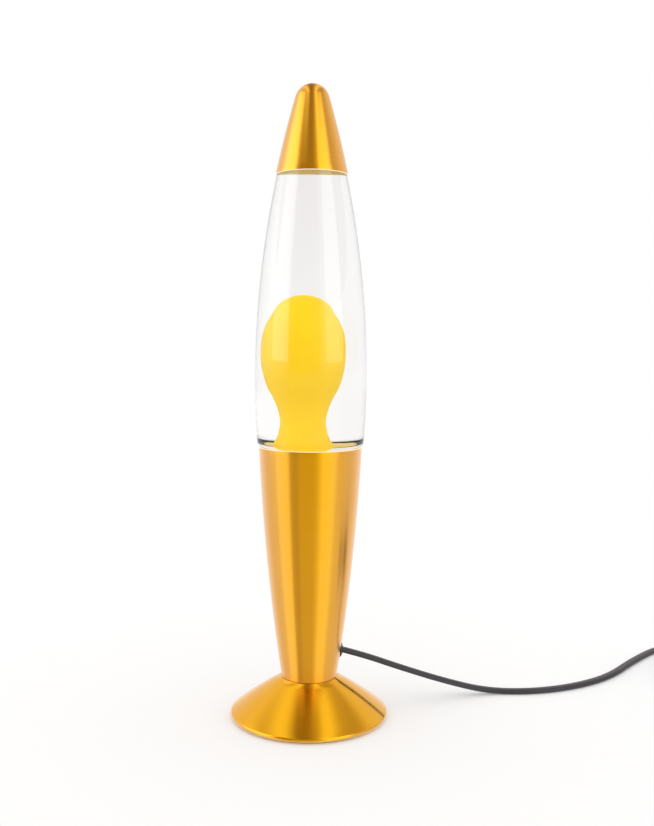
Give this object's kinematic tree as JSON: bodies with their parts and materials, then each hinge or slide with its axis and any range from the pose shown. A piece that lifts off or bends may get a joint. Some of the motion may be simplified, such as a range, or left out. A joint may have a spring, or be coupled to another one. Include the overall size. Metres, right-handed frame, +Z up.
{
  "type": "lava lamp",
  "caption": "Lava lamp: gold spun foot and body, lift-out glass bottle with yellow wax, cap, reflector bulb, and corded switch and plug.",
  "frame": {"origin": "on the lamp's axis, on the surface that it stands on", "axes": "+Z up along the lamp's axis, front towards -Y, cord leaving towards +X"},
  "size_m": [0.3413, 0.1698, 0.34],
  "materials": {
    "gold_aluminium": "gold anodised, fine circular brushing",
    "ballast_steel": "zinc plated",
    "pad_rubber": "matte foam rubber",
    "zinc_steel": "zinc plated",
    "holder_plastic": "heat resistant moulding",
    "brass": "bright pressed",
    "bulb_glass": "clear blown",
    "bulb_black": "vitreous black",
    "nickel": "nickel plated",
    "solder": "soldered",
    "tungsten": "drawn wire",
    "bottle_glass": "clear polished",
    "liquid": "clear liquid",
    "wax": "yellow wax, slightly translucent",
    "spring_wire": "drawn wire",
    "crown_tin": "gold lacquered tinplate",
    "crown_liner": "soft sealing liner",
    "cord_black": "satin black flexible sheath",
    "live_brown": "brown insulation",
    "neutral_blue": "blue insulation",
    "switch_black": "fine sparked moulding",
    "rocker_black": "polished moulding",
    "plug_black": "soft moulded",
    "tie_black": "woven hook-and-loop band"
  },
  "bodies": {
    "base": {"foot": "gold_aluminium", "body_shell": "gold_aluminium", "base_plate": "ballast_steel", "base_pad": "pad_rubber", "threaded_tube": "zinc_steel", "tube_washers": "zinc_steel", "tube_nuts": "zinc_steel", "holder_base": "holder_plastic", "holder_sleeve": "holder_plastic", "screw_shell": "brass", "centre_contact": "brass", "terminal_screws": "zinc_steel", "cord_bushing": "switch_black", "inner_cord": "cord_black", "live_wire": "live_brown", "neutral_wire": "neutral_blue", "cord_lead": "cord_black", "cord_link": "cord_black", "cord_coil": "cord_black", "cord_tail": "cord_black", "coil_tie": "tie_black", "switch_base": "switch_black", "switch_cover": "switch_black", "switch_contacts": "brass", "neutral_link": "brass", "cord_clamps": "holder_plastic", "switch_screws": "zinc_steel", "plug_boot": "plug_black", "plug_body": "plug_black", "plug_pins": "nickel", "pin_sleeves": "plug_black"},
    "bottle": {"bottle": "bottle_glass", "liquid": "liquid", "wax": "wax", "heating_coil": "spring_wire", "crown_liner": "crown_liner", "crown_cap": "crown_tin"},
    "cap": {"cap": "gold_aluminium"},
    "bulb_lift": {"bulb_tip": "solder"},
    "bulb": {"bulb_insulator": "bulb_black", "bulb_cap": "nickel", "bulb_glass": "bulb_glass", "bulb_stem": "bulb_glass", "bulb_leads": "nickel", "bulb_filament": "tungsten"},
    "rocker": {"rocker": "rocker_black", "rocker_bridge": "brass"}
  },
  "joints": [
    {"name": "bottle_lift", "type": "slide", "parent": "base", "child": "bottle", "axis": [0, 0, 1], "range_m": [0, 0.06]},
    {"name": "cap_lift", "type": "slide", "parent": "bottle", "child": "cap", "axis": [0, 0, 1], "range_m": [0, 0.06]},
    {"name": "bulb_rise", "type": "slide", "parent": "base", "child": "bulb_lift", "axis": [0, 0, 1], "range_m": [0, 0.01128]},
    {"name": "bulb_turn", "type": "hinge", "parent": "bulb_lift", "child": "bulb", "pos_m": [0, 0, 0.05], "axis": [0, 0, 1], "range_deg": [0, 1440]},
    {"name": "rocker_tilt", "type": "hinge", "parent": "base", "child": "rocker", "pos_m": [0.286, 0.052, 0.014], "axis": [1, 0, 0], "range_deg": [-18, 0]}
  ],
  "couplings": [
    {"joint": "bulb_rise", "follows": "bulb_turn", "m_per_rad": 0.00044881}
  ]
}
